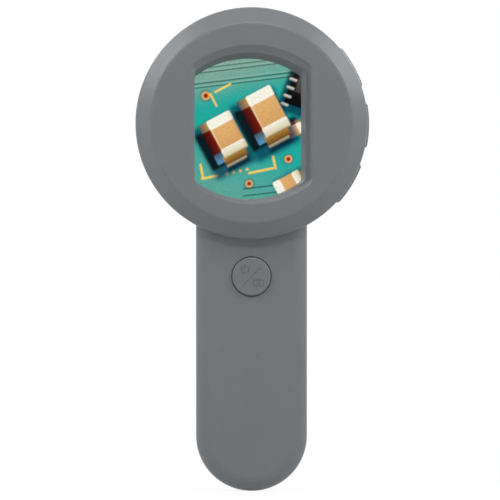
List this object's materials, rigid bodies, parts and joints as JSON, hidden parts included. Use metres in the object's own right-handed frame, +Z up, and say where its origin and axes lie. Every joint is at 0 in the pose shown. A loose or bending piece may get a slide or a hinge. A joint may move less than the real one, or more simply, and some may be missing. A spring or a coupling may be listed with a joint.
{
  "type": "handheld digital microscope",
  "caption": "Handheld digital microscope: round head with an arched display recess, straight grip, side keys, rear focus ring, lamp ring and clear hood.",
  "frame": {"origin": "bottom centre of the bounding box: under the grip's round end, half way through the depth", "axes": "+Z up along the grip towards the head, +Y from the display side to the lens side along the optical axis, +X towards the side keys"},
  "size_m": [0.08, 0.04, 0.1653],
  "materials": {
    "housing_grey": "fine matt grain",
    "control_grey": "fine matt grain",
    "black_plastic": "matt",
    "ring_black": "fine matt grain, ribbed",
    "window_clear": "clear gloss",
    "display_glass": "gloss picture",
    "hood_clear": "clear moulded plastic",
    "lens_glass": "coated",
    "steel": "plain",
    "board_green": "solder mask",
    "lamp_board": "white solder mask",
    "lamp": "clear resin over phosphor",
    "diffuser_white": "frosted",
    "ribbon_amber": "film",
    "cell_foil": "foil pouch"
  },
  "bodies": {
    "housing": {"front_housing": "housing_grey", "rear_housing": "housing_grey", "display_window": "window_clear", "display_frame": "steel", "display_panel": "display_glass", "display_ribbon": "ribbon_amber", "main_board": "board_green", "processor_chip": "black_plastic", "memory_chip": "black_plastic", "key_switch_1": "black_plastic", "key_switch_2": "black_plastic", "key_switch_3": "black_plastic", "power_switch": "black_plastic", "button_board": "board_green", "grip_board": "board_green", "usb_socket": "steel", "card_socket": "steel", "battery_cell": "cell_foil", "grip_ribbon": "ribbon_amber", "sensor_board": "board_green", "image_sensor": "black_plastic", "lens_tube": "black_plastic", "led_board": "lamp_board", "led_1": "lamp", "led_2": "lamp", "led_3": "lamp", "led_4": "lamp", "led_5": "lamp", "led_6": "lamp", "led_7": "lamp", "led_8": "lamp", "diffuser_ring": "diffuser_white", "clear_hood": "hood_clear", "housing_screw_1": "steel", "housing_screw_2": "steel", "housing_screw_3": "steel", "housing_screw_4": "steel", "housing_screw_5": "steel", "housing_screw_6": "steel", "tube_screw_1": "steel", "tube_screw_2": "steel", "tube_screw_3": "steel"},
    "power_button": {"power_button": "control_grey"},
    "side_key_1": {"side_key_1": "control_grey"},
    "side_key_2": {"side_key_2": "control_grey"},
    "side_key_3": {"side_key_3": "control_grey"},
    "focus_ring": {"focus_ring": "ring_black"},
    "lens_carrier": {"lens_carrier": "black_plastic", "objective_lens": "lens_glass", "rear_lens": "lens_glass", "lens_retainer": "steel", "guide_pin_1": "steel", "guide_pin_2": "steel"}
  },
  "joints": [
    {"name": "power_button_press", "type": "slide", "parent": "housing", "child": "power_button", "axis": [0, 1, 0], "range_m": [0, 0.0006], "stiffness_N_per_m": 2000},
    {"name": "side_key_1_press", "type": "slide", "parent": "housing", "child": "side_key_1", "axis": [-0.8686, 0, -0.4955], "range_m": [0, 0.0006], "stiffness_N_per_m": 2000},
    {"name": "side_key_2_press", "type": "slide", "parent": "housing", "child": "side_key_2", "axis": [-0.9999, 0, 0.0157], "range_m": [0, 0.0006], "stiffness_N_per_m": 2000},
    {"name": "side_key_3_press", "type": "slide", "parent": "housing", "child": "side_key_3", "axis": [-0.8517, 0, 0.524], "range_m": [0, 0.0006], "stiffness_N_per_m": 2000},
    {"name": "focus_turn", "type": "hinge", "parent": "housing", "child": "focus_ring", "pos_m": [0, 0.0088, 0.1257], "axis": [0, 1, 0], "range_deg": [-45, 45]},
    {"name": "focus_slide", "type": "slide", "parent": "housing", "child": "lens_carrier", "axis": [0, 1, 0], "range_m": [-0.001, 0.001]}
  ],
  "couplings": [
    {"joint": "focus_turn", "follows": "focus_slide", "rad_per_m": 785.3}
  ]
}
